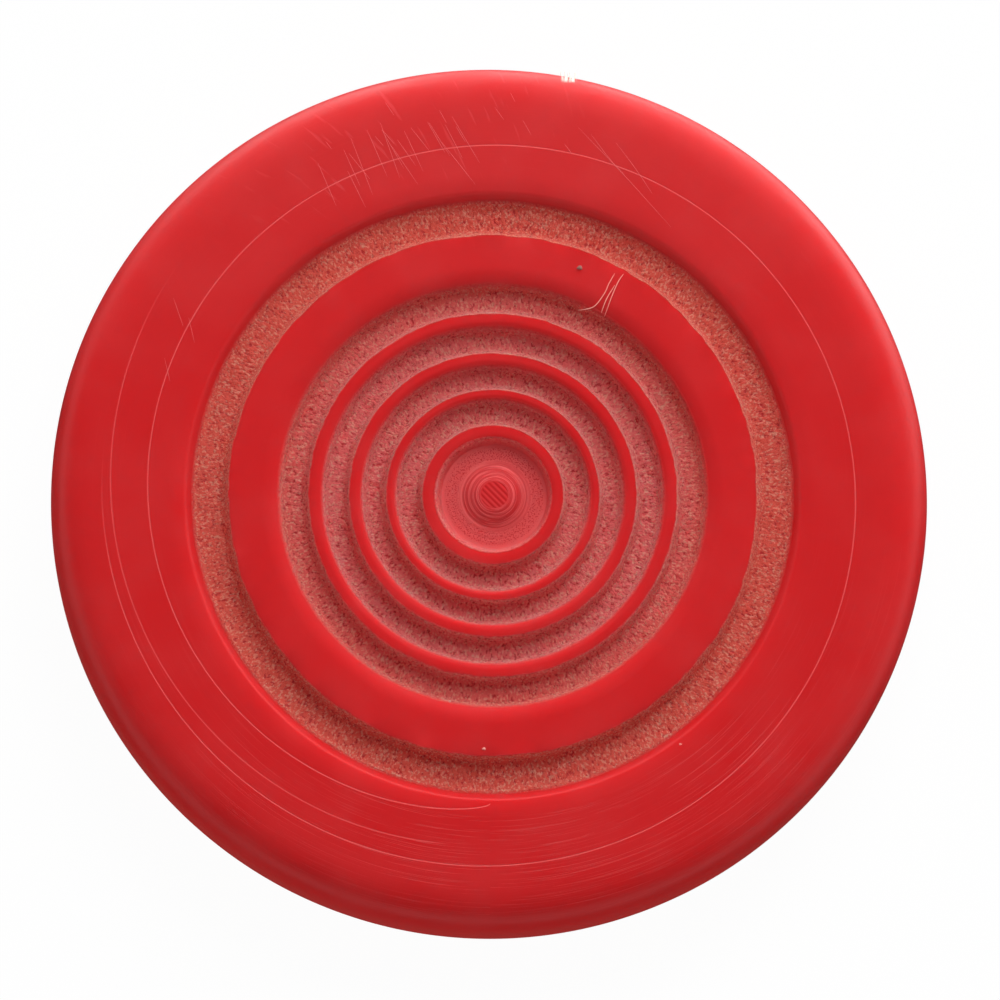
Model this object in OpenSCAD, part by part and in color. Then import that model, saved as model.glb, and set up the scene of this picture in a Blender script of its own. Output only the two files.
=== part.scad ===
// Carrom striker: a one-piece turned plastic disc, with rings cut into its upper face.
// The origin is at the centre of the underside, with +Z up through the upper face.

/* [Disc] */
// Diameter of the disc over its rounded rim
striker_d = 41.3; // [38:0.1:44]
// Thickness of the disc, from the running face to the upper face
striker_h = 5.4; // [4:0.1:8]
// Share of the thickness that the rounded corner takes at each face
rim_share = 0.45; // [0.2:0.01:0.48]

/* [Outer groove] */
// Radius of the inner, sharp edge of the outer groove
outer_groove_inner_r = 12.4; // [11.5:0.05:12.6]
// Radius of its outer edge
outer_groove_outer_r = 14.15; // [13.9:0.05:15]
// Depth of the outer groove
outer_groove_depth = 0.7; // [0.4:0.05:1]
// Width of the softened lip outside the outer groove
outer_lip_w = 0.4; // [0.1:0.05:0.6]

/* [Ring grooves] */
// Number of narrow grooves inside the inner land
ring_count = 4; // [1:1:4]
// Radius of the inner edge of each ring groove
ring_inner_r = [3.3, 5.0, 6.75, 8.65]; // [3.3:0.05:8.7]
// Width of each ring groove at the upper face, without its lip
ring_w = [1.35, 1.25, 1.35, 1.5]; // [1.2:0.05:1.5]
// Depth of a ring groove
ring_depth = 0.7; // [0.4:0.05:1]
// Width of the softened lip outside each ring groove
ring_lip_w = 0.12; // [0.05:0.01:0.2]

/* [Centre] */
// Radius of the recess in the middle
recess_r = 2.8; // [2.6:0.05:3]
// Depth of that recess
recess_depth = 0.6; // [0.4:0.05:0.9]
// Radius at the foot of the low cone in the recess
cone_r = 1.6; // [1.2:0.05:1.8]
// Radius of the flat that is left where the cone's tip was cut off
nub_r = 0.65; // [0.4:0.05:0.9]
// How far that flat lies below the upper face
nub_drop = 0.15; // [0:0.05:0.3]

/* [Walls] */
// How far a groove's wall leans out over the groove's depth
wall_run = 0.38; // [0.2:0.01:0.5]
// Share of a groove's depth that its softened lip takes
lip_share = 0.2; // [0.1:0.05:0.4]
// Number of segments in a full circle
facets = 96; // [32:16:192]

/* [Hidden] */
$fn = facets;
flat_r = striker_d / 2 - striker_h * rim_share;
rim_r = striker_h * rim_share;
clear = 1;

// Half section of the blank: a flat disc whose rim is rounded at both faces, with a short straight side.
module blank_section() {
    square([flat_r, striker_h]);
    translate([0, rim_r])
        square([striker_d / 2, striker_h - 2 * rim_r]);
    for (z = [rim_r, striker_h - rim_r])
        translate([flat_r, z])
            intersection() {
                circle(r = rim_r);
                translate([0, -rim_r])
                    square([rim_r, 2 * rim_r]);
            }
}

// Section of one groove: a sharp inner edge, leaning walls, a flat floor and a softened outer lip.
module groove_section(inner_r, outer_r, depth, lip_w) {
    translate([0, striker_h])
        polygon([
            [inner_r, clear],
            [inner_r, 0],
            [inner_r + wall_run, -depth],
            [outer_r - wall_run, -depth],
            [outer_r, -depth * lip_share],
            [outer_r + lip_w, 0],
            [outer_r + lip_w, clear]
        ]);
}

// Section of the middle: a round recess, with a low cone left standing in it.
module centre_section() {
    translate([0, striker_h])
        polygon([
            [0, clear],
            [0, -nub_drop],
            [nub_r, -nub_drop],
            [cone_r, -recess_depth],
            [recess_r - wall_run, -recess_depth],
            [recess_r, -recess_depth * lip_share],
            [recess_r + ring_lip_w, 0],
            [recess_r + ring_lip_w, clear]
        ]);
}

module striker_disc() {
    color([0.78, 0.13, 0.15])
        rotate_extrude()
            difference() {
                blank_section();
                groove_section(outer_groove_inner_r, outer_groove_outer_r, outer_groove_depth, outer_lip_w);
                for (i = [0 : ring_count - 1])
                    groove_section(ring_inner_r[i], ring_inner_r[i] + ring_w[i], ring_depth, ring_lip_w);
                centre_section();
            }
}

striker_disc();
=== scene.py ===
"""Looks for a carrom striker: one turned disc of red plastic, with torn groove floors and a few shavings.

Lengths in the classes below are in millimetres, because that is how such a disc is drawn; each mesh is
scaled to metres when it is made. +Z runs up through the grooved face, with Z = 0 at the running face.
"""

from __future__ import annotations

import logging
import math
from dataclasses import dataclass, field
from enum import Enum

import bpy
import numpy as np
from mathutils import Matrix, Vector

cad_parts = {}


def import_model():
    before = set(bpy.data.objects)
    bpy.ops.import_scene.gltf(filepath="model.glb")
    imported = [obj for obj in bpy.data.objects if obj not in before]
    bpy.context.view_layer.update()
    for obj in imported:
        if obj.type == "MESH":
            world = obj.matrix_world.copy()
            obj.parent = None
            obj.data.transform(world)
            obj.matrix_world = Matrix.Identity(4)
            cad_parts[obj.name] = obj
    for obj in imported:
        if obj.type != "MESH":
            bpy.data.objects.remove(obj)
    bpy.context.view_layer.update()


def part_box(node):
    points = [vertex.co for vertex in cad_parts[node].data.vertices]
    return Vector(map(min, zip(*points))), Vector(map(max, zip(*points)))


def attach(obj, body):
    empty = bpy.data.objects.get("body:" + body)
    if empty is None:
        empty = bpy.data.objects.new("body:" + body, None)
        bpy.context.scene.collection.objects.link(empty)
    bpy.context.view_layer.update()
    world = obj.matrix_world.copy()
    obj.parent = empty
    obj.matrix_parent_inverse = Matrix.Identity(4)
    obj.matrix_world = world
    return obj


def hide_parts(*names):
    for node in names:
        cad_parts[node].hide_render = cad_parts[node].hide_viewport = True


MM = 0.001
TAU = 2.0 * math.pi
LOG = logging.getLogger("striker")


Colour = tuple[float, float, float, float]
Point = tuple[float, float, float]
Path = tuple[Point, ...]
Socket = bpy.types.NodeSocket
WHITE = (1.0, 1.0, 1.0, 1.0)


class Name(Enum):
    """Names of the pieces and of the record's body, slot and node that they belong to."""

    BODY = "root"
    SLOT = "red_plastic"
    DISC_NODE = "striker_disc"
    DISC = "striker_disc_turned"
    SHAVINGS = "groove_shavings"
    CRUMBS = "plastic_crumbs"
    GRIT = "grit_speck"
    SPLINTERS = "rim_chip_splinters"
    SCRATCHES = "face_scratches"


def ease(t: np.ndarray) -> np.ndarray:
    """Returns the smooth step 3t^2 - 2t^3 of t, held to 0..1."""
    t = np.clip(t, 0.0, 1.0)
    return t * t * (3.0 - 2.0 * t)


def round_noise(rng: np.random.Generator, turn: np.ndarray, across: np.ndarray, cells: int) -> np.ndarray:
    """Smooth random heights that join up round the disc.

    A lattice of random numbers, with a whole number of cells round the turn, is blended between its four
    nearest corners with the smooth step.

    Args:
        rng: The source of the lattice's numbers.
        turn: Place round the disc, 0 to 1, of any shape.
        across: Place across the grain, in cells, of the same shape.
        cells: The number of cells in one turn.

    Returns:
        Heights from -1 to 1, of the same shape as turn.
    """
    rows = int(np.floor(across.max())) + 2
    lattice = rng.uniform(-1.0, 1.0, (rows, cells))
    u = (turn % 1.0) * cells
    column = np.floor(u).astype(int)
    row = np.floor(across).astype(int)
    fu = ease(u - column)
    fv = ease(across - row)
    left = column % cells
    right = (column + 1) % cells
    low = lattice[row, left] * (1 - fu) + lattice[row, right] * fu
    high = lattice[row + 1, left] * (1 - fu) + lattice[row + 1, right] * fu
    return low * (1 - fv) + high * fv


class Nodes:
    """A small hand for building one node tree, which starts empty."""

    def __init__(self, tree: bpy.types.NodeTree) -> None:
        """Takes the tree and clears it."""
        self.tree = tree
        self.tree.nodes.clear()

    def add(self, kind: str) -> bpy.types.Node:
        """Returns a new node of the given kind."""
        return self.tree.nodes.new(kind)

    def feed(self, socket: Socket, value: object) -> None:
        """Links a socket to another node's output, or sets its value."""
        if isinstance(value, bpy.types.NodeSocket):
            self.tree.links.new(value, socket)
        else:
            socket.default_value = value

    def maths(self, operation: str, a: object, b: object = 0.0) -> Socket:
        """Returns the output of a Math node."""
        node = self.add("ShaderNodeMath")
        node.operation = operation
        for socket, value in zip(node.inputs, (a, b)):
            self.feed(socket, value)
        return node.outputs[0]

    def plus(self, a: object, b: object) -> Socket:
        """Returns a + b."""
        return self.maths("ADD", a, b)

    def minus(self, a: object, b: object) -> Socket:
        """Returns a - b."""
        return self.maths("SUBTRACT", a, b)

    def times(self, a: object, b: object) -> Socket:
        """Returns a times b."""
        return self.maths("MULTIPLY", a, b)

    def highest(self, a: object, b: object) -> Socket:
        """Returns the greater of a and b."""
        return self.maths("MAXIMUM", a, b)

    def gap(self, a: object, b: object) -> Socket:
        """Returns how far apart a and b are, never less than 0."""
        return self.maths("ABSOLUTE", self.minus(a, b))

    def length(self, x: object, y: object) -> Socket:
        """Returns the length of the flat vector (x, y)."""
        return self.maths("SQRT", self.plus(self.times(x, x), self.times(y, y)))

    def fade(self, value: object, start: float, end: float, low: float = 0.0, high: float = 1.0) -> Socket:
        """Returns a smooth step from low to high as value goes from start to end."""
        node = self.add("ShaderNodeMapRange")
        node.interpolation_type = "SMOOTHSTEP"
        for socket, number in zip(node.inputs, (value, start, end, low, high)):
            self.feed(socket, number)
        return node.outputs[0]

    def axes(self, vector: object) -> tuple[Socket, ...]:
        """Returns a vector's X, Y and Z."""
        node = self.add("ShaderNodeSeparateXYZ")
        self.feed(node.inputs[0], vector)
        return tuple(node.outputs)

    def vector(self, x: object, y: object, z: object = 0.0) -> Socket:
        """Returns a vector made of three numbers."""
        node = self.add("ShaderNodeCombineXYZ")
        for socket, value in zip(node.inputs, (x, y, z)):
            self.feed(socket, value)
        return node.outputs[0]


class Shading(Nodes):
    """The node tree of one new material, with a Principled shader at its end."""

    def __init__(self, name: str) -> None:
        """Makes the material under the given name, and its shader."""
        self.material = bpy.data.materials.new(name)
        self.material.use_nodes = True
        super().__init__(self.material.node_tree)
        output = self.add("ShaderNodeOutputMaterial")
        self.shader = self.add("ShaderNodeBsdfPrincipled")
        self.tree.links.new(self.shader.outputs[0], output.inputs["Surface"])

    def attribute(self, name: str) -> bpy.types.Node:
        """Returns a node that reads one of the mesh's own attributes."""
        node = self.add("ShaderNodeAttribute")
        node.attribute_name = name
        return node

    def place(self) -> Socket:
        """Returns the place on the object, in millimetres."""
        node = self.add("ShaderNodeVectorMath")
        node.operation = "MULTIPLY"
        self.feed(node.inputs[0], self.add("ShaderNodeTexCoord").outputs["Object"])
        node.inputs[1].default_value = (1 / MM, 1 / MM, 1 / MM)
        return node.outputs[0]

    def noise(self, vector: object, scale: float = 1.0, detail: float = 2.0, rough: float = 0.5) -> Socket:
        """Returns fractal noise, about 0.5 on average, at so many cells per unit of vector."""
        node = self.add("ShaderNodeTexNoise")
        self.feed(node.inputs["Vector"], vector)
        node.inputs["Scale"].default_value = scale
        node.inputs["Detail"].default_value = detail
        node.inputs["Roughness"].default_value = rough
        return node.outputs["Fac"]

    def mix(self, factor: object, a: object, b: object) -> Socket:
        """Returns two colours mixed."""
        node = self.add("ShaderNodeMix")
        node.data_type = "RGBA"
        for socket, value in zip((node.inputs[0], node.inputs[6], node.inputs[7]), (factor, a, b)):
            self.feed(socket, value)
        return node.outputs[2]

    def bump(self, height: object, depth: float, under: object = None) -> Socket:
        """Returns a normal bent by a height of 0 to 1 that stands for depth millimetres."""
        node = self.add("ShaderNodeBump")
        node.inputs["Strength"].default_value = 1.0
        node.inputs["Distance"].default_value = depth * MM
        self.feed(node.inputs["Height"], height)
        if under is not None:
            self.feed(node.inputs["Normal"], under)
        return node.outputs[0]

    def set(self, **values: object) -> None:
        """Feeds the shader's sockets, named with underscores for spaces."""
        for name, value in values.items():
            self.feed(self.shader.inputs[name.replace("_", " ")], value)


@dataclass(frozen=True)
class Groove:
    """A groove turned into the upper face: a sharp inner edge, and an outer wall that ends in a soft lip."""

    inner_r: float
    outer_r: float
    depth: float = 0.7
    inner_run: float = 0.42
    outer_run: float = 0.42
    lip: float = 0.08
    softness: float = 0.18
    whitening_and_glint_width: float = 0.16
    steps: int = 19

    @property
    def end_r(self) -> float:
        """Returns the radius where the lip meets the land."""
        return self.outer_r + self.lip

    def drop(self, r: np.ndarray) -> np.ndarray:
        """How far the face lies below the land.

        The depth times two factors, one for each wall. Each is 1 less a power of what is left of the
        wall's run, which starts steeply at the edge and levels out. On the outer wall the run is first
        eased near the land, as the square over itself plus the softness, so that the lip is round.

        Args:
            r: Radii.

        Returns:
            The drop at each radius, 0 outside the groove.
        """
        inward = np.clip((r - self.inner_r) / self.inner_run, 0.0, 1.0)
        outward = np.clip((self.end_r - r) / (self.outer_run + self.lip), 0.0, 1.0)
        outward = (1.0 + self.softness) * outward**2 / (outward + self.softness)
        return self.depth * (1.0 - (1.0 - inward) ** 2.0) * (1.0 - (1.0 - outward) ** 2.0)

    def torn(self, r: np.ndarray) -> np.ndarray:
        """How torn the surface is: 1 from the sharp edge across the floor, 0 by the top of the outer wall."""
        start = ease((r - self.inner_r + 0.01) / 0.03)
        return start * ease((self.outer_r + 0.03 - r) / 0.16)

    def edge_whitening_and_glint(self, r: np.ndarray) -> np.ndarray:
        """How near the surface is to the sharp edge, for the pale edge line that is partly whitened plastic
        and partly a painted highlight: 1 on the edge, 0 by the line's width out from it.
        """
        return np.where(r >= self.inner_r - 0.005, ease(1.0 - (r - self.inner_r) / self.whitening_and_glint_width), 0.0)

    def radii(self) -> np.ndarray:
        """Returns sample radii from the sharp edge to the end of the lip, closest together at the edge."""
        return self.inner_r + (self.end_r - self.inner_r) * np.linspace(0.0, 1.0, self.steps) ** 1.25


@dataclass(frozen=True)
class Centre:
    """The middle of the face: a shallow recess, with a low cone whose tip was cut off."""

    nub_r: float = 0.65
    nub_drop: float = 0.15
    cone_r: float = 1.6
    floor_r: float = 2.46
    recess_r: float = 2.74
    lip: float = 0.06
    depth: float = 0.6
    ring_step: float = 0.28
    ring_height: float = 0.012
    steps: int = 44

    @property
    def end_r(self) -> float:
        """Returns the radius where the recess meets the first ridge."""
        return self.recess_r + self.lip

    def drop(self, r: np.ndarray) -> np.ndarray:
        """How far the face lies below the land.

        The nub's drop, plus a step down the cone, plus cosine rings that the tool left on it, all faded
        out by a smooth step up the recess's wall.

        Args:
            r: Radii.

        Returns:
            The drop at each radius, 0 outside the recess.
        """
        down = np.clip((r - self.nub_r) / (self.cone_r - self.nub_r), 0.0, 1.0)
        slope = self.nub_drop + (self.depth - self.nub_drop) * (0.35 * down + 0.65 * ease(down))
        rings = self.ring_height * np.cos(TAU * (r - self.nub_r) / self.ring_step)
        rings = rings * ease((r - self.nub_r) / 0.12) * ease((self.floor_r - r) / 0.3)
        return (slope + rings) * ease((self.end_r - r) / (self.end_r - self.floor_r))

    def torn(self, r: np.ndarray) -> np.ndarray:
        """How torn the surface is: least on the nub, most on the cone and floor, 0 by the wall's top."""
        level = 0.4 + 0.45 * ease((r - 0.6) / 0.2)
        return level * ease((self.end_r - r) / 0.1)

    def radii(self) -> np.ndarray:
        """Returns sample radii from the first ring round the axis to the end of the lip."""
        wall = np.linspace(self.floor_r, self.end_r, 8)
        return np.concatenate([np.linspace(0.06, self.floor_r, self.steps)[:-1], wall])


@dataclass(frozen=True)
class ScribeLine:
    """A spiral line that the tool left on the outer land, whose radius grows with the turn.

    The radius is the start's, plus the root growth times the root of the turn, plus the even growth times
    the turn, plus the late growth times the turn's cube. The line's strength is a narrow bump about it.
    """

    start_r: float
    root_growth: float = 0.0
    even_growth: float = 0.0
    late_growth: float = 0.0
    edge: float = 0.045
    core: float = 0.008

    def near(self, nodes: Shading, r: object, turn: object) -> Socket:
        """Returns how near a point is to the line, 0 to 1, at a turn counted from the line's start."""
        line_r = self.start_r
        if self.root_growth:
            line_r = nodes.plus(nodes.times(nodes.maths("SQRT", turn), self.root_growth), line_r)
        if self.even_growth:
            line_r = nodes.plus(nodes.times(turn, self.even_growth), line_r)
        if self.late_growth:
            line_r = nodes.plus(nodes.times(nodes.maths("POWER", turn, 3.0), self.late_growth), line_r)
        return nodes.fade(nodes.gap(r, line_r), self.edge, self.core)


@dataclass(frozen=True)
class RedPlastic:
    """Glossy red plastic that goes pale and granular where the tool has torn it."""

    deep: Colour = (0.68, 0.0155, 0.0185, 1.0)
    pale: Colour = (0.97, 0.185, 0.185, 1.0)
    peach: Colour = (0.92, 0.135, 0.100, 1.0)
    pit: Colour = (0.66, 0.030, 0.036, 1.0)
    # Pale flecks of bruised plastic; the same colour also paints the highlight along the sharp groove edges.
    bruise_and_glint: Colour = (0.99, 0.47, 0.35, 1.0)
    splinter: Colour = (0.99, 0.75, 0.66, 1.0)
    peach_from: tuple[float, float] = (7.5, 12.0)
    grain: float = 6.2
    grain_depth: float = 0.62
    polish_depth: float = 0.0016
    scratch_depth: float = 0.02
    centre_depth: float = 0.05
    gloss: tuple[float, float] = (0.36, 0.44)
    torn_gloss: float = 0.14
    specular: float = 0.3
    glow_share: float = 0.6
    glow_depth: float = 2.0
    glow_reach: Point = (1.0, 0.015, 0.018)
    line: ScribeLine = ScribeLine(14.72, root_growth=2.7, late_growth=0.25)
    line_laps: float = 1.24
    short_line: ScribeLine = ScribeLine(16.66, even_growth=4.6, edge=0.05, core=0.01)
    short_line_share: float = 0.7
    short_line_end: float = 0.33
    scratch_share: float = 0.36
    worn_share: float = 0.55
    scratched_land: tuple[float, float] = (14.9, 20.5)
    centre_at: tuple[float, float] = (0.205, -0.06)
    centre_r: float = 2.6
    cone_r: float = 1.6
    nub_r: float = 0.62
    chip_at: tuple[float, float] = (3.73, 20.0)
    chip_half_width: float = 0.32

    def scribed(self, nodes: Shading, r: object, turn: object) -> Socket:
        """The two spiral lines on the outer land: one of a turn and a quarter, and one of a third of a turn.

        Args:
            nodes: The material being built.
            r: Radius, in millimetres.
            turn: Turn from the lines' start, 0 to 1.

        Returns:
            The lines' strength, 0 to 1.
        """
        first = self.line.near(nodes, r, turn)
        over = nodes.fade(turn, self.line_laps - 0.96, self.line_laps - 1.04)
        again = nodes.times(self.line.near(nodes, r, nodes.plus(turn, 1.0)), over)
        end = self.short_line_end
        part = nodes.times(nodes.fade(turn, 0.015, 0.03), nodes.fade(turn, end + 0.03, end - 0.03))
        short = nodes.times(nodes.times(self.short_line.near(nodes, r, turn), part), self.short_line_share)
        return nodes.highest(nodes.highest(first, again), short)

    def scratches(self, nodes: Shading, r: object, turn: object) -> Socket:
        """Fine scratches on the outer land: long ones round the front, and short radial ones at the back.

        Each set is the sharp tops of noise that is stretched along the scratch, kept to its own part of
        the land.

        Args:
            nodes: The material being built.
            r: Radius, in millimetres.
            turn: Turn from the front of the disc, 0 to 1.

        Returns:
            The scratches' strength, 0 to 1.
        """
        front = nodes.gap(nodes.maths("FRACT", nodes.plus(turn, 0.5)), 0.48)
        sets = []
        for pitch, along, start in ((17.0, 13.0, 0.61), (30.0, 20.0, 0.60)):
            lines = nodes.vector(nodes.times(r, pitch), nodes.times(turn, along), pitch)
            sets.append(nodes.fade(nodes.noise(lines, 1.0, 2.0, 0.55), start, start + 0.07))
        long_ones = nodes.plus(sets[0], nodes.times(sets[1], 0.6))
        long_ones = nodes.times(long_ones, nodes.fade(front, 0.24, 0.06, 0.12, 1.0))
        slant = nodes.plus(nodes.times(turn, 300.0), nodes.times(r, 1.1))
        short_ones = nodes.fade(nodes.noise(nodes.vector(nodes.times(r, 0.45), slant)), 0.62, 0.70)
        short_ones = nodes.times(short_ones, nodes.fade(nodes.gap(turn, 0.46), 0.10, 0.03))
        inner, outer = self.scratched_land
        land = nodes.times(nodes.fade(r, inner, inner + 0.7), nodes.fade(r, outer, outer - 0.7))
        return nodes.times(nodes.highest(long_ones, nodes.times(short_ones, 0.9)), land)

    def chip(self, nodes: Shading, x: object, y: object) -> Socket:
        """A chip in the rim at the back, crossed by fine splits.

        Args:
            nodes: The material being built.
            x: Place along X, in millimetres.
            y: Place along Y, in millimetres.

        Returns:
            The chip's strength, 0 to 1.
        """
        chip_x, chip_y = self.chip_at
        half = self.chip_half_width
        across = nodes.fade(nodes.gap(x, chip_x), half + 0.1, half - 0.1)
        area = nodes.times(across, nodes.fade(y, chip_y - 0.25, chip_y))
        splits = nodes.noise(nodes.vector(nodes.times(x, 9.0), nodes.times(y, 0.8)), 1.0, 1.0)
        return nodes.times(area, nodes.fade(splits, 0.36, 0.52))

    def turned_centre(self, nodes: Shading, x: object, y: object) -> tuple[Socket, Socket, Socket]:
        """Fine rings on the cone, slanting cuts on its flat tip and chatter dots on the floor round it.

        Args:
            nodes: The material being built.
            x: Place along X, in millimetres.
            y: Place along Y, in millimetres.

        Returns:
            How much of the centre's finish a point has, the height of the marks, and the share of pale
            colour that they bring.
        """
        dx = nodes.minus(x, self.centre_at[0])
        dy = nodes.minus(y, self.centre_at[1])
        away = nodes.length(dx, dy)
        share = nodes.fade(away, self.centre_r + 0.15, self.centre_r - 0.15)
        tip = nodes.fade(away, self.nub_r + 0.04, self.nub_r - 0.04)
        off_tip = nodes.fade(away, self.nub_r - 0.04, self.nub_r + 0.08)
        on_cone = nodes.times(nodes.fade(away, self.cone_r + 0.4, self.cone_r - 0.4), off_tip)
        rings = nodes.noise(nodes.vector(nodes.times(away, 13.0), nodes.times(dx, 0.4)), 1.0, 3.0, 0.7)
        dots = nodes.noise(nodes.vector(nodes.times(dx, 14.0), nodes.times(dy, 14.0)), 1.0, 1.0)
        chatter = nodes.times(nodes.fade(away, 1.6, 1.8), nodes.fade(away, 2.4, 2.2))
        dots = nodes.times(nodes.fade(dots, 0.52, 0.66), chatter)
        cuts = nodes.maths("SINE", nodes.times(nodes.plus(dx, dy), 21.0))
        cuts = nodes.plus(nodes.times(cuts, 0.5), 0.5)
        height = nodes.times(rings, nodes.plus(nodes.times(on_cone, 1.9), 0.15))
        height = nodes.plus(height, nodes.times(cuts, nodes.times(tip, 0.8)))
        height = nodes.minus(height, nodes.times(dots, 0.8))
        ringed = nodes.times(nodes.fade(rings, 0.42, 0.66, 0.05, 1.0), on_cone)
        floor = nodes.times(nodes.fade(away, 1.1, 2.0), nodes.minus(0.62, dots))
        return share, height, nodes.plus(ringed, floor)

    def torn_colour(
        self, nodes: Shading, fine: object, grain_place: object, edge_whitening_and_glint: object, r: object
    ) -> Socket:
        """The grain's colour: pale crests over pits, with light flecks, most of them along a sharp edge,
        where they are partly whitened plastic and partly a painted highlight.

        Args:
            nodes: The material being built.
            fine: The grain's fine noise.
            grain_place: The place that the grain is counted in.
            edge_whitening_and_glint: How near the surface is to a sharp edge, 0 to 1.
            r: Radius, in millimetres.

        Returns:
            The colour of a fully torn surface.
        """
        fleck = nodes.noise(grain_place, self.grain * 1.7)
        tint = nodes.mix(nodes.fade(r, *self.peach_from), self.pale, self.peach)
        cut = nodes.mix(nodes.fade(fine, 0.34, 0.50), self.pit, tint)
        cut = nodes.mix(nodes.times(nodes.fade(fleck, 0.50, 0.66), 0.65), cut, self.bruise_and_glint)
        # Painted highlight: near the sharp edge, paler flecks are mixed in. They are partly whitened plastic
        # and partly stand in for the light that the edge catches.
        return nodes.mix(nodes.times(edge_whitening_and_glint, nodes.fade(fleck, 0.42, 0.60, 0.0, 0.50)), cut, self.bruise_and_glint)

    def make(self) -> bpy.types.Material:
        """Builds the material.

        Returns:
            The material, which reads the mesh's torn, burr, upper and grain_place attributes.
        """
        nodes = Shading("red_plastic")
        torn, edge_whitening_and_glint, upper = (nodes.attribute(name).outputs["Fac"] for name in ("torn", "edge_whitening_and_glint", "upper"))
        grain_place = nodes.attribute("grain_place").outputs["Vector"]
        x, y, _ = nodes.axes(nodes.place())
        r = nodes.length(x, y)
        bearing = nodes.maths("ARCTAN2", nodes.times(x, -1.0), nodes.times(y, -1.0))
        turn = nodes.maths("FRACT", nodes.plus(nodes.maths("DIVIDE", bearing, TAU), 1.0))
        centre, centre_height, centre_pale = self.turned_centre(nodes, x, y)
        centre = nodes.times(centre, upper)
        fine = nodes.noise(grain_place, self.grain, 4.0, 0.68)
        coarse = nodes.noise(grain_place, self.grain * 0.35)
        worn = nodes.times(self.scratches(nodes, r, turn), self.scratch_share)
        worn = nodes.times(nodes.highest(self.scribed(nodes, r, turn), worn), upper)
        chip = nodes.times(self.chip(nodes, x, y), upper)

        mottle = nodes.noise(nodes.place(), 0.35)
        # Random mottle, plus a painted sheen: the smooth plastic is painted paler towards the back (+Y), the
        # side the light comes from.
        mottle_and_back_sheen = nodes.plus(nodes.fade(mottle, 0.35, 0.7, 0.0, 0.04), nodes.fade(y, 4.0, 20.0, 0.0, 0.10))
        smooth = nodes.mix(mottle_and_back_sheen, self.deep, self.pale)
        smooth = nodes.mix(nodes.times(worn, self.worn_share), smooth, self.pale)
        cut = self.torn_colour(nodes, fine, grain_place, edge_whitening_and_glint, r)
        cut = nodes.mix(centre, cut, nodes.mix(centre_pale, self.pit, self.pale))
        colour = nodes.mix(chip, nodes.mix(torn, smooth, cut), self.splinter)

        brushed = nodes.noise(nodes.vector(nodes.times(r, 22.0), nodes.times(turn, 5.0)), 1.0, 2.0, 0.6)
        level = nodes.bump(brushed, self.polish_depth)
        level = nodes.bump(nodes.noise(nodes.place(), 9.0, 2.0, 0.6), self.polish_depth, level)
        level = nodes.bump(nodes.minus(1.0, nodes.highest(worn, chip)), self.scratch_depth, level)
        height = nodes.plus(nodes.times(fine, 0.75), nodes.times(coarse, 0.25))
        rough = nodes.times(height, nodes.times(torn, nodes.minus(1.0, centre)))
        level = nodes.bump(rough, self.grain_depth, level)
        level = nodes.bump(nodes.times(centre_height, centre), self.centre_depth, level)

        gloss = nodes.plus(nodes.fade(mottle, 0.3, 0.7, *self.gloss), nodes.times(torn, self.torn_gloss))
        nodes.set(Base_Color=colour, Roughness=gloss, Normal=level, IOR=1.5)
        nodes.set(Specular_IOR_Level=self.specular, Subsurface_Weight=self.glow_share)
        nodes.set(Subsurface_Scale=self.glow_depth * MM, Subsurface_Radius=self.glow_reach)
        return nodes.material


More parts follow.
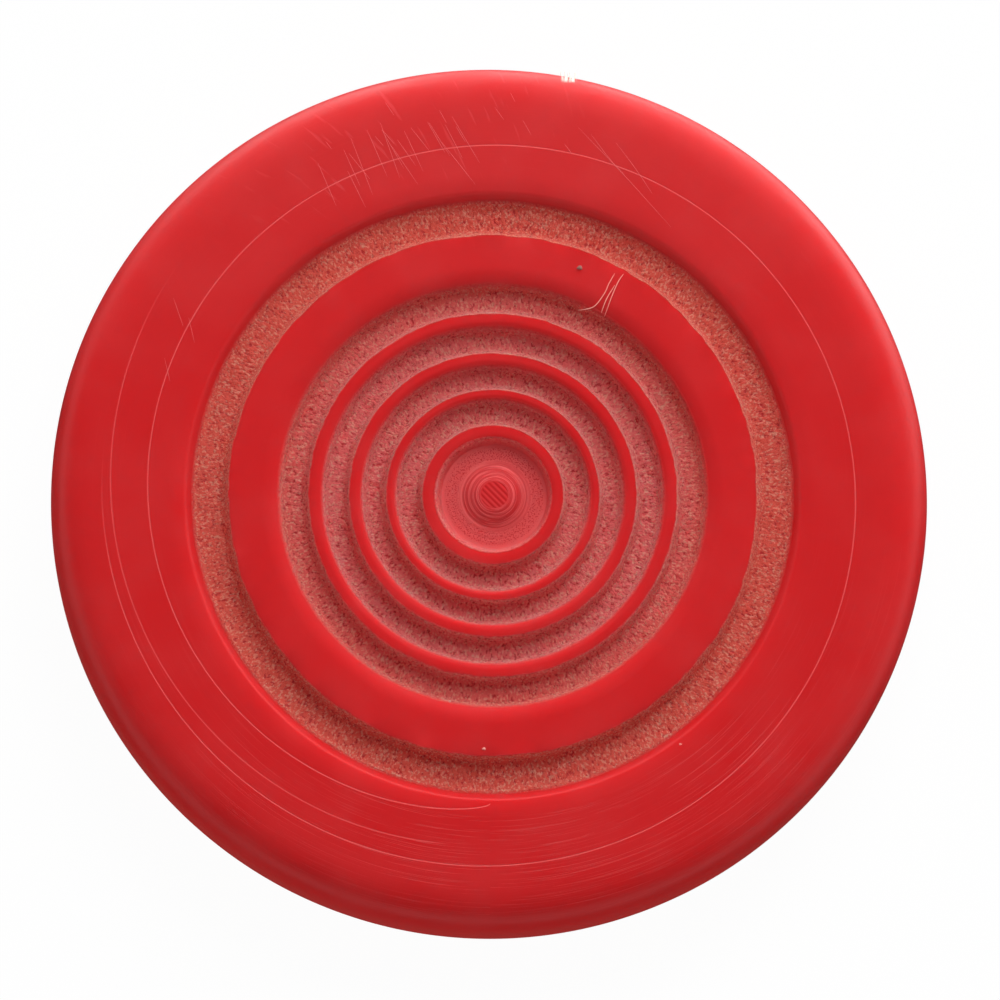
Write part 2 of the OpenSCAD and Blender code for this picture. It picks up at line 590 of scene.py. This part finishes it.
@dataclass(frozen=True)
class StrikerDisc:
    """The disc itself, as one closed surface turned about Z."""

    across: float
    height: float
    grooves: tuple[Groove, ...]
    centre: Centre = field(default_factory=Centre)
    finish: RedPlastic = field(default_factory=RedPlastic)
    rim_share: float = 0.45
    rim_fullness: float = 2.8
    segments: int = 480
    rim_steps: int = 14
    under_steps: int = 4
    ring_shift: tuple[float, float] = (0.12, -0.08)
    nub_shift: tuple[float, float] = (0.085, 0.02)
    grain_cell: float = 0.24
    grain_height: float = 0.050
    wave_height: float = 0.028
    edge_wander: float = 0.036
    slow_wander: float = 0.026
    lip_wander: float = 0.018
    edge_reach: float = 0.12
    lip_reach: float = 0.10
    grain_spread: float = 0.66
    seed: int = 41

    @property
    def rim_r(self) -> float:
        """Returns the radius of the rim's rounded corners."""
        return self.height * self.rim_share

    @property
    def flat_r(self) -> float:
        """Returns the radius where the flat faces meet the round."""
        return self.across / 2 - self.rim_r

    def face_radii(self) -> np.ndarray:
        """Returns the sample radii over the upper face, from the axis out to the round."""
        parts = [self.centre.radii()]
        reached = self.centre.end_r
        for groove in self.grooves:
            flat = 2 if groove.inner_r - reached < 1.0 else 3
            parts.append(np.linspace(reached, groove.inner_r - 0.03, flat + 1)[1:])
            parts.append(groove.radii())
            reached = groove.end_r
        parts.append(np.linspace(reached, self.flat_r, 6)[1:-1])
        return np.concatenate(parts)

    def outline(self) -> tuple[np.ndarray, np.ndarray, np.ndarray, np.ndarray, np.ndarray]:
        """Works out the half section.

        The upper face is the full height less each cut's drop. The rim has a corner at each face, with a
        short straight side between them. A corner is a quarter of a circle whose sine and cosine are raised
        to two over the fullness, so that it is a little squarer than a circle. The underside is flat.

        Returns:
            Radius, height, torn share and share of the pale edge line (partly whitened plastic, partly a
            painted highlight) of each ring, and the radius that its grain is centred on, from the top of the
            axis round to the bottom.
        """
        face_r = self.face_radii()
        drop = self.centre.drop(face_r)
        torn = self.centre.torn(face_r)
        edge_whitening_and_glint = np.zeros_like(face_r)
        middle = np.full_like(face_r, 1.4)
        for groove in self.grooves:
            drop = drop + groove.drop(face_r)
            torn = np.maximum(torn, groove.torn(face_r))
            edge_whitening_and_glint = np.maximum(edge_whitening_and_glint, groove.edge_whitening_and_glint(face_r) * groove.torn(face_r))
            inside = face_r > groove.inner_r - 0.2
            middle = np.where(inside, (groove.inner_r + groove.outer_r) / 2, middle)
        angle = np.linspace(math.pi / 2, 0.0, self.rim_steps)
        power = 2.0 / self.rim_fullness
        corner = self.flat_r + self.rim_r * np.abs(np.cos(angle)) ** power
        corner_z = self.rim_r * (1.0 - np.sin(angle) ** power)
        rim = np.concatenate([corner, corner[::-1]])
        rim_z = np.concatenate([self.height - corner_z, corner_z[::-1]])
        under = np.linspace(self.flat_r, 0.0, self.under_steps + 1)[1:-1]
        rest = np.zeros(len(rim) + len(under))
        r = np.concatenate([face_r, rim, under])
        z = np.concatenate([self.height - drop, rim_z, np.zeros_like(under)])
        torn, edge_whitening_and_glint, middle = (np.concatenate([share, rest]) for share in (torn, edge_whitening_and_glint, middle))
        return r, z, torn, edge_whitening_and_glint, middle

    def surface(self) -> tuple[np.ndarray, dict[str, np.ndarray]]:
        """Turns the half section about Z and roughens it.

        A point is its ring's radius round its angle, moved by the small shift of the ring cuts off the
        rim's axis. On torn stretches two layers of round noise lift the surface, and near a sharp edge
        the same kind of noise moves the edge in and out. Both are strongest on the outermost groove. The
        grain's place is the point's, drawn in towards the middle of its groove, so that the grain comes out
        longer along the radius than round the turn.

        Returns:
            Points of shape (rings, segments, 3), and arrays for the mesh's attributes.
        """
        rng = np.random.default_rng(self.seed)
        r, z, torn, edge_whitening_and_glint, middle = self.outline()
        rings = len(r)
        turn = np.broadcast_to(np.arange(self.segments) / self.segments, (rings, self.segments))
        radius = np.repeat(r[:, None], self.segments, 1)
        lift = np.zeros_like(radius)
        wander = np.zeros_like(radius)
        for groove in self.grooves:
            mid = (groove.inner_r + groove.outer_r) / 2
            band = (r > groove.inner_r - 0.3) & (r < groove.end_r + 0.05)
            cells = min(self.segments // 2, int(TAU * mid / self.grain_cell))
            across = (radius[band] - radius[band].min()) / 0.3
            grain = round_noise(rng, turn[band], across, cells)
            waves = round_noise(rng, turn[band], across / 2.5, cells // 3)
            coarse = 0.6 + 0.6 * (groove.inner_r / self.grooves[-1].inner_r) ** 2
            rough = coarse * (self.grain_height * grain + self.wave_height * waves)
            lift[band] += rough * torn[band, None]
            raggedness = min(1.0, groove.inner_r / self.grooves[-1].inner_r) ** 1.5
            edge = round_noise(rng, turn[band], across * 0.0, int(cells * 0.8))
            slow = round_noise(rng, turn[band], across * 0.0, cells // 5)
            near = np.exp(-(((r[band] - groove.inner_r) / self.edge_reach) ** 2))
            wander[band] += raggedness * (self.edge_wander * edge + self.slow_wander * slow) * near[:, None]
            far = np.exp(-(((r[band] - groove.outer_r) / self.lip_reach) ** 2))
            outer_edge = round_noise(rng, turn[band], across * 0.0, cells // 2)
            wander[band] += raggedness * self.lip_wander * outer_edge * far[:, None]
        angle = TAU * turn
        radius = radius + wander
        off = ease((self.flat_r - r) / 2.5)[:, None] * np.array(self.ring_shift)
        off = off + ease((2.9 - r) / 0.5)[:, None] * np.array(self.nub_shift)
        off = off * (z > self.rim_r)[:, None]
        x = radius * np.cos(angle) + off[:, None, 0]
        y = radius * np.sin(angle) + off[:, None, 1]
        points = np.stack([x, y, z[:, None] + lift], axis=-1)
        spread = middle[:, None] + (radius - middle[:, None]) * self.grain_spread
        level = np.broadcast_to(z[:, None], spread.shape)
        grain_place = np.stack([spread * np.cos(angle), spread * np.sin(angle), level], axis=-1)
        shares = {
            "torn": np.repeat(torn[:, None], self.segments, 1),
            "edge_whitening_and_glint": np.repeat(edge_whitening_and_glint[:, None], self.segments, 1),
            "upper": np.repeat((z > self.rim_r * 0.8).astype(float)[:, None], self.segments, 1),
        }
        return points, {"grain_place": grain_place, **shares}

    def build(self) -> bpy.types.Object:
        """Makes the mesh, closes both poles and dresses it.

        Returns:
            The disc's object.
        """
        points, extras = self.surface()
        rings, around = points.shape[:2]
        poles = np.array([points[0].mean(0), [0.0, 0.0, 0.0]])
        vertices = np.concatenate([points.reshape(-1, 3), poles]) * MM
        index = np.arange(rings * around).reshape(rings, around)
        here, ahead = index, np.roll(index, -1, axis=1)
        quads = np.stack([here[:-1], here[1:], ahead[1:], ahead[:-1]], axis=-1).reshape(-1, 4)
        top, bottom = rings * around, rings * around + 1
        top_fan = np.stack([np.full(around, top), here[0], ahead[0]], axis=-1)
        bottom_fan = np.stack([np.full(around, bottom), ahead[-1], here[-1]], axis=-1)
        faces = quads.tolist() + top_fan.tolist() + bottom_fan.tolist()
        disc = new_mesh(Name.DISC.value, vertices, faces)
        for name, values in extras.items():
            vector = values.ndim == 3
            pole_values = np.stack([values[0].mean(0), values[-1].mean(0)])
            flat = np.concatenate([values.reshape(-1, 3) if vector else values.reshape(-1), pole_values])
            kind, key = ("FLOAT_VECTOR", "vector") if vector else ("FLOAT", "value")
            layer = disc.data.attributes.new(name, kind, "POINT")
            layer.data.foreach_set(key, flat.astype(np.float32).ravel())
        disc.data.materials.append(self.finish.make())
        return disc


@dataclass(frozen=True)
class PlainFinish:
    """One even, matt colour, for the bits that the tool left behind."""

    colour: Colour
    roughness: float = 0.5

    def make(self, name: str) -> bpy.types.Material:
        """Builds the material under the given name."""
        nodes = Shading(name)
        nodes.set(Base_Color=self.colour, Roughness=self.roughness, Specular_IOR_Level=0.3)
        return nodes.material


@dataclass(frozen=True)
class Shaving:
    """Thin curls of plastic, each a round thread that thins out to both ends."""

    name: str
    paths: tuple[Path, ...]
    thickness: float
    finish: PlainFinish
    sides: int = 6
    steps: int = 40
    end_share: float = 0.25

    def thread(self, path: Path) -> np.ndarray:
        """Works out one thread.

        Its axis is a curve through the points of the path: each stretch is the cubic whose end slopes are
        half the chord across the points on both sides. Circles that narrow towards the ends stand on it.

        Args:
            path: The points, in millimetres.

        Returns:
            Points of shape (steps, sides, 3).
        """
        knots = np.array(path)
        knots = np.concatenate([[2 * knots[0] - knots[1]], knots, [2 * knots[-1] - knots[-2]]])
        place = np.linspace(0.0, len(path) - 1.0, self.steps)
        stretch = np.minimum(place.astype(int), len(path) - 2)
        t = (place - stretch)[:, None]
        before, start, end, after = (knots[stretch + k] for k in range(4))
        axis = 0.5 * (
            2 * start + (end - before) * t + (2 * before - 5 * start + 4 * end - after) * t**2
            + (3 * start - before - 3 * end + after) * t**3
        )
        along = np.gradient(axis, axis=0)
        along /= np.linalg.norm(along, axis=1, keepdims=True)
        side = np.cross(along, [0.0, 0.0, 1.0])
        side /= np.linalg.norm(side, axis=1, keepdims=True)
        rise = np.cross(side, along)
        share = place / place[-1]
        swell = np.sqrt(np.sin(np.pi * np.clip(share, 0.01, 0.99)))
        radius = self.thickness / 2 * (self.end_share + (1.0 - self.end_share) * swell)
        angle = TAU * np.arange(self.sides) / self.sides
        ring = np.cos(angle)[None, :, None] * side[:, None] + np.sin(angle)[None, :, None] * rise[:, None]
        return axis[:, None] + radius[:, None, None] * ring

    def build(self) -> bpy.types.Object:
        """Makes one mesh of all the threads, with closed ends, and dresses it.

        Returns:
            The object.
        """
        vertices = []
        faces = []
        for path in self.paths:
            points = self.thread(path)
            first = sum(map(len, vertices))
            index = np.arange(self.steps * self.sides).reshape(self.steps, self.sides) + first
            ahead = np.roll(index, -1, axis=1)
            quads = np.stack([index[:-1], index[1:], ahead[1:], ahead[:-1]], axis=-1).reshape(-1, 4)
            faces += quads.tolist() + [index[0].tolist(), index[-1, ::-1].tolist()]
            vertices.append(points.reshape(-1, 3))
        piece = new_mesh(self.name, np.concatenate(vertices) * MM, faces)
        piece.data.materials.append(self.finish.make(self.name))
        return piece


@dataclass(frozen=True)
class ScratchSet:
    """A group of nearly parallel straight scratches on the face, each with a low raised edge."""

    bearing: float
    spread: float
    inner_r: float
    outer_r: float
    slant: float
    count: int
    length: float
    slant_spread: float = 5.0
    shortest: float = 0.45

    def paths(self, rng: np.random.Generator, height: float) -> tuple[Path, ...]:
        """Draws the scratches.

        Args:
            rng: The source of the random draws.
            height: The height of the face, in millimetres.

        Returns:
            Paths of three points each, in millimetres.
        """
        bearing = np.radians(self.bearing + self.spread * rng.uniform(-1.0, 1.0, self.count))
        r = rng.uniform(self.inner_r, self.outer_r, self.count)
        slant = np.radians(self.slant + rng.normal(0.0, self.slant_spread, self.count))
        half = self.length / 2 * rng.uniform(self.shortest, 1.0, self.count)
        middle = np.stack([r * np.cos(bearing), r * np.sin(bearing)], axis=-1)
        along = np.stack([np.cos(slant), np.sin(slant)], axis=-1)
        places = np.stack([-half[:, None] * along + middle, middle, half[:, None] * along + middle], axis=1)
        places = np.concatenate([places, np.full((self.count, 3, 1), height)], axis=-1)
        return tuple(tuple(map(tuple, path)) for path in places.tolist())


@dataclass(frozen=True)
class Speck:
    """Small rounded grains that lie on the face."""

    name: str
    places: tuple[tuple[float, float, float, float], ...]
    rest_height: float
    finish: PlainFinish
    flatness: float = 0.7
    rest_share: float = 0.55
    rings: int = 8
    around: int = 14
    seed: int = 7

    def build(self) -> bpy.types.Object:
        """Makes one mesh of all the grains, each placed by its X, Y, size and length.

        A grain is a ball, flattened a little, whose radius is varied by a smooth random wave round it.

        Returns:
            The object.
        """
        rng = np.random.default_rng(self.seed)
        vertices = []
        faces = []
        for x, y, size, length in self.places:
            polar = np.linspace(0.0, np.pi, self.rings + 1)[1:-1, None]
            angle = (TAU * np.arange(self.around) / self.around)[None, :]
            wave = 1.0 + 0.18 * np.sin(3 * angle + rng.uniform(0, TAU))
            wave = wave + 0.1 * np.sin(2 * polar + rng.uniform(0, TAU))
            x_share = np.sin(polar) * np.cos(angle) * wave * length
            y_share = np.sin(polar) * np.sin(angle) * wave
            z_share = self.flatness * np.cos(polar) * np.ones_like(angle)
            ball = np.stack([x_share, y_share, z_share], axis=-1)
            ends = np.array([[0.0, 0.0, self.flatness], [0.0, 0.0, -self.flatness]])
            ball = np.concatenate([ball.reshape(-1, 3), ends]) * size
            first = sum(map(len, vertices))
            index = np.arange((self.rings - 1) * self.around).reshape(self.rings - 1, self.around) + first
            ahead = np.roll(index, -1, axis=1)
            quads = np.stack([index[:-1], index[1:], ahead[1:], ahead[:-1]], axis=-1).reshape(-1, 4)
            top = np.full(self.around, first + len(ball) - 2)
            top_fan = np.stack([top, index[0], ahead[0]], axis=-1)
            bottom_fan = np.stack([top + 1, ahead[-1], index[-1]], axis=-1)
            faces += quads.tolist() + top_fan.tolist() + bottom_fan.tolist()
            vertices.append(ball + np.array([x, y, self.rest_height + self.rest_share * size]))
        piece = new_mesh(self.name, np.concatenate(vertices) * MM, faces)
        piece.data.materials.append(self.finish.make(self.name))
        return piece


def new_mesh(name: str, vertices: np.ndarray, faces: list[list[int]]) -> bpy.types.Object:
    """Makes a smooth-shaded mesh object at the origin.

    Args:
        name: The object's name.
        vertices: Points in metres, of shape (n, 3).
        faces: Lists of point numbers.

    Returns:
        The new object, linked to the scene.
    """
    mesh = bpy.data.meshes.new(name)
    mesh.from_pydata(vertices.tolist(), [], faces)
    mesh.polygons.foreach_set("use_smooth", np.ones(len(mesh.polygons), dtype=bool))
    mesh.update()
    obj = bpy.data.objects.new(name, mesh)
    bpy.context.scene.collection.objects.link(obj)
    return obj


@dataclass(frozen=True)
class Wear:
    """What use and the tool left on the disc: loose threads, crumbs, grit, splinters and scratches."""

    top: float
    plastic: PlainFinish = PlainFinish((0.90, 0.36, 0.30, 1.0))
    dirt: PlainFinish = PlainFinish((0.34, 0.15, 0.12, 1.0))
    broken: PlainFinish = PlainFinish((0.92, 0.72, 0.62, 1.0))
    scratched: PlainFinish = PlainFinish((0.85, 0.16, 0.16, 1.0))
    seed: int = 23

    def shavings(self) -> bpy.types.Object:
        """Makes three threads of plastic that hang from the outer groove's edge over the inner land."""
        top = self.top
        long_curl = (
            (5.99, 10.74, top - 0.05),
            (5.60, 10.05, top + 0.06),
            (5.38, 9.56, top + 0.05),
            (4.92, 8.95, top + 0.04),
            (4.45, 8.78, top + 0.05),
            (4.10, 8.74, top + 0.03),
        )
        straight = (
            (6.36, 10.62, top - 0.05),
            (6.02, 10.10, top + 0.09),
            (5.74, 9.45, top + 0.12),
            (5.36, 8.42, top + 0.05),
        )
        short = ((5.86, 9.95, top + 0.05), (5.46, 9.25, top + 0.10), (5.22, 8.62, top + 0.05))
        return Shaving(Name.SHAVINGS.value, (long_curl, straight, short), 0.045, self.plastic).build()

    def splinters(self) -> bpy.types.Object:
        """Makes the pale splinters that stand in the chip, one beside the other down the rim's corner."""
        places = ((3.46, -0.05), (3.58, 0.0), (3.71, 0.02), (3.85, -0.02), (3.99, 0.05))
        paths = tuple(
            (
                (x, 19.86, self.top - 1.15),
                (x + lean, 20.22, self.top - 1.42),
                (x + 1.5 * lean, 20.62, self.top - 1.95),
            )
            for x, lean in places
        )
        return Shaving(Name.SPLINTERS.value, paths, 0.065, self.broken).build()

    def crumbs(self) -> bpy.types.Object:
        """Makes four crumbs of plastic that lie on the lands."""
        places = (
            (-0.30, -12.15, 0.055, 1.5),
            (-7.9, 9.6, 0.04, 1.0),
            (8.9, -11.9, 0.04, 1.6),
            (-1.9, -9.9, 0.05, 1.2),
        )
        return Speck(Name.CRUMBS.value, places, self.top, self.plastic).build()

    def grit(self) -> bpy.types.Object:
        """Makes the dark speck on the inner land."""
        return Speck(Name.GRIT.value, ((4.21, 10.77, 0.10, 1.2),), self.top, self.dirt).build()

    def scratches(self) -> bpy.types.Object:
        """Makes the scratches at the back of the outer land: three drawn groups, and three long ones."""
        top = self.top
        rng = np.random.default_rng(self.seed)
        groups = (
            ScratchSet(107.0, 15.0, 15.8, 17.3, -61.0, 17, 2.9),
            ScratchSet(96.0, 20.0, 16.5, 19.0, -58.0, 10, 1.0),
            ScratchSet(150.0, 10.0, 15.8, 17.4, -74.0, 3, 1.6),
        )
        long_ones = (
            ((4.14, 17.53, top), (6.25, 15.30, top), (8.52, 12.75, top)),
            ((5.93, 16.80, top), (6.85, 15.55, top), (7.63, 14.37, top)),
            ((4.75, 17.20, top), (5.60, 16.05, top), (6.30, 15.30, top)),
        )
        drawn = tuple(path for group in groups for path in group.paths(rng, top))
        return Shaving(
            Name.SCRATCHES.value, drawn + long_ones, 0.022, self.scratched, sides=4, steps=8
        ).build()


@dataclass(frozen=True)
class Studio:
    """A plain pale floor, a soft key light from the back, a softer fill from above, and the camera."""

    face_height: float
    tilt: float = 9.8
    swing: float = 8.0
    distance: float = 600.0
    field_width: float = 47.17
    aim: tuple[float, float] = (0.52, 0.13)
    light_swing: float = 18.0
    light_distance: float = 500.0
    key_rise: float = 40.0
    key_spread: float = 36.0
    key_level: float = 0.98
    fill_rise: float = 90.0
    fill_spread: float = 100.0
    fill_level: float = 0.38
    floor_half: float = 2.0
    floor_gap: float = 0.02
    floor_grey: Colour = (0.03, 0.03, 0.03, 1.0)
    floor_glow: float = 0.97
    overhead_level: float = 0.06
    least_level: float = 0.02
    band_level: float = 0.85
    daylight: Colour = (0.60, 1.0, 1.0, 1.0)
    daylight_level: float = 4.6
    bounce: Colour = (1.0, 0.30, 0.25, 1.0)
    bounce_level: float = 0.25

    def floor(self) -> bpy.types.Object:
        """Makes the floor, a wide plain sheet just under the disc."""
        half = self.floor_half
        corners = np.array([[-half, -half, 0.0], [half, -half, 0.0], [half, half, 0.0], [-half, half, 0.0]])
        corners = corners - np.array([0.0, 0.0, self.floor_gap * MM])
        sheet = new_mesh("studio_floor", corners, [[0, 1, 2, 3]])
        nodes = Shading("studio_floor")
        nodes.set(Base_Color=self.floor_grey, Roughness=0.9, Specular_IOR_Level=0.0)
        nodes.set(Emission_Color=WHITE, Emission_Strength=self.floor_glow)
        sheet.data.materials.append(nodes.material)
        sheet.visible_glossy = False
        sheet.visible_diffuse = False
        return sheet

    def dome(self) -> None:
        """Sets the surroundings.

        A soft band stands round the horizon under a dim top. Cool daylight comes in low at the back, and
        warm light bounces off the table from the front and the sides.
        """
        world = bpy.data.worlds.new("studio")
        bpy.context.scene.world = world
        world.use_nodes = True
        nodes = Nodes(world.node_tree)
        x, y, z = nodes.axes(nodes.add("ShaderNodeTexCoord").outputs["Generated"])
        swing = math.radians(self.light_swing)
        back = nodes.plus(nodes.times(y, math.cos(swing)), nodes.times(x, math.sin(swing)))
        overhead = nodes.times(nodes.fade(z, 0.2, 0.7), self.overhead_level)
        band = nodes.times(nodes.fade(z, -0.40, -0.05), nodes.fade(z, 0.48, 0.15))
        room = nodes.plus(nodes.plus(overhead, self.least_level), nodes.times(band, self.band_level))
        low = nodes.times(nodes.fade(z, 0.35, 0.0), nodes.fade(z, -0.9, -0.3))
        low_back = nodes.times(nodes.fade(back, 0.35, 1.0), low)
        low_front = nodes.times(nodes.fade(z, 0.50, 0.05), nodes.fade(back, 0.6, -0.4))
        light = self.glow(nodes, WHITE, room)
        for colour, share, level in (
            (self.daylight, low_back, self.daylight_level),
            (self.bounce, low_front, self.bounce_level),
        ):
            both = nodes.add("ShaderNodeAddShader")
            nodes.feed(both.inputs[0], light)
            nodes.feed(both.inputs[1], self.glow(nodes, colour, nodes.times(share, level)))
            light = both.outputs[0]
        either = nodes.add("ShaderNodeMixShader")
        nodes.feed(either.inputs[0], nodes.add("ShaderNodeLightPath").outputs["Is Camera Ray"])
        nodes.feed(either.inputs[1], light)
        nodes.feed(either.inputs[2], self.glow(nodes, WHITE, 1.0))
        nodes.feed(nodes.add("ShaderNodeOutputWorld").inputs["Surface"], either.outputs[0])

    def glow(self, nodes: Nodes, colour: Colour, strength: object) -> Socket:
        """Returns a light of one colour in the world's tree."""
        glow = nodes.add("ShaderNodeBackground")
        nodes.feed(glow.inputs["Color"], colour)
        nodes.feed(glow.inputs["Strength"], strength)
        return glow.outputs[0]

    def soft_box(self, name: str, rise: float, spread: float, level: float) -> bpy.types.Object:
        """Makes a square soft box that faces the disc and isn't seen in its gloss.

        Args:
            name: The light's name.
            rise: How far the light stands above the horizon, in degrees.
            spread: How wide it looks from the disc, in degrees.
            level: How brightly it lights a white surface that faces it.

        Returns:
            The light's object.
        """
        rise, swing = math.radians(rise), math.radians(self.light_swing)
        flat = math.cos(rise)
        towards = Vector((flat * math.sin(swing), flat * math.cos(swing), math.sin(rise)))
        data = bpy.data.lights.new(name, "AREA")
        data.shape = "SQUARE"
        data.size = 2.0 * self.light_distance * MM * math.tan(math.radians(spread) / 2.0)
        data.energy = level * math.pi * math.pi * (self.light_distance * MM) ** 2
        light = bpy.data.objects.new(name, data)
        turn = towards.to_track_quat("Z", "Y").to_matrix().to_4x4()
        light.matrix_world = Matrix.Translation(towards * self.light_distance * MM) @ turn
        light.visible_glossy = False
        bpy.context.scene.collection.objects.link(light)
        return light

    def camera(self) -> bpy.types.Object:
        """Makes the camera, almost straight over the disc and leaning a little to the front and left.

        Returns:
            The camera's object, set as the scene's camera.
        """
        lean, swing = math.radians(self.tilt), math.radians(self.swing)
        flat = -math.sin(lean)
        towards = Vector((flat * math.sin(swing), flat * math.cos(swing), math.cos(lean)))
        data = bpy.data.cameras.new("camera")
        data.sensor_width = 36.0
        data.lens = data.sensor_width * self.distance / self.field_width
        data.clip_start = 0.01
        data.clip_end = 20.0
        camera = bpy.data.objects.new("camera", data)
        target = Vector((self.aim[0], self.aim[1], self.face_height / 2)) * MM
        back = towards.normalized()
        right = Vector((0.0, 1.0, 0.0)).cross(back).normalized()
        up = back.cross(right)
        turn = Matrix((right, up, back)).transposed().to_4x4()
        camera.matrix_world = Matrix.Translation(target + back * self.distance * MM) @ turn
        bpy.context.scene.collection.objects.link(camera)
        bpy.context.scene.camera = camera
        return camera

    def build(self) -> None:
        """Makes the floor, the lights and the camera."""
        self.floor()
        self.dome()
        self.soft_box("key", self.key_rise, self.key_spread, self.key_level)
        self.soft_box("fill", self.fill_rise, self.fill_spread, self.fill_level)
        self.camera()
        bpy.context.scene.view_settings.view_transform = "Standard"


def main() -> None:
    """Builds the disc, its wear and its surroundings."""
    logging.basicConfig(level=logging.INFO, format="%(message)s")
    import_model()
    low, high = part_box(Name.DISC_NODE.value)
    across = (high[0] - low[0]) / MM
    height = (high[2] - low[2]) / MM
    grooves = (
        Groove(3.30, 4.60),
        Groove(5.00, 6.20),
        Groove(6.74, 8.05),
        Groove(8.65, 10.08),
        Groove(12.41, 14.12, outer_run=0.40, lip=0.45, softness=0.45, steps=28),
    )
    disc = StrikerDisc(across, height, grooves).build()
    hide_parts(Name.DISC_NODE.value)
    wear = Wear(height)
    pieces = (disc, wear.shavings(), wear.splinters(), wear.crumbs(), wear.grit(), wear.scratches())
    for piece in pieces:
        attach(piece, Name.BODY.value)
        LOG.info("%s: %d faces", piece.name, len(piece.data.polygons))
    Studio(height).build()


if __name__ == "__main__":
    main()
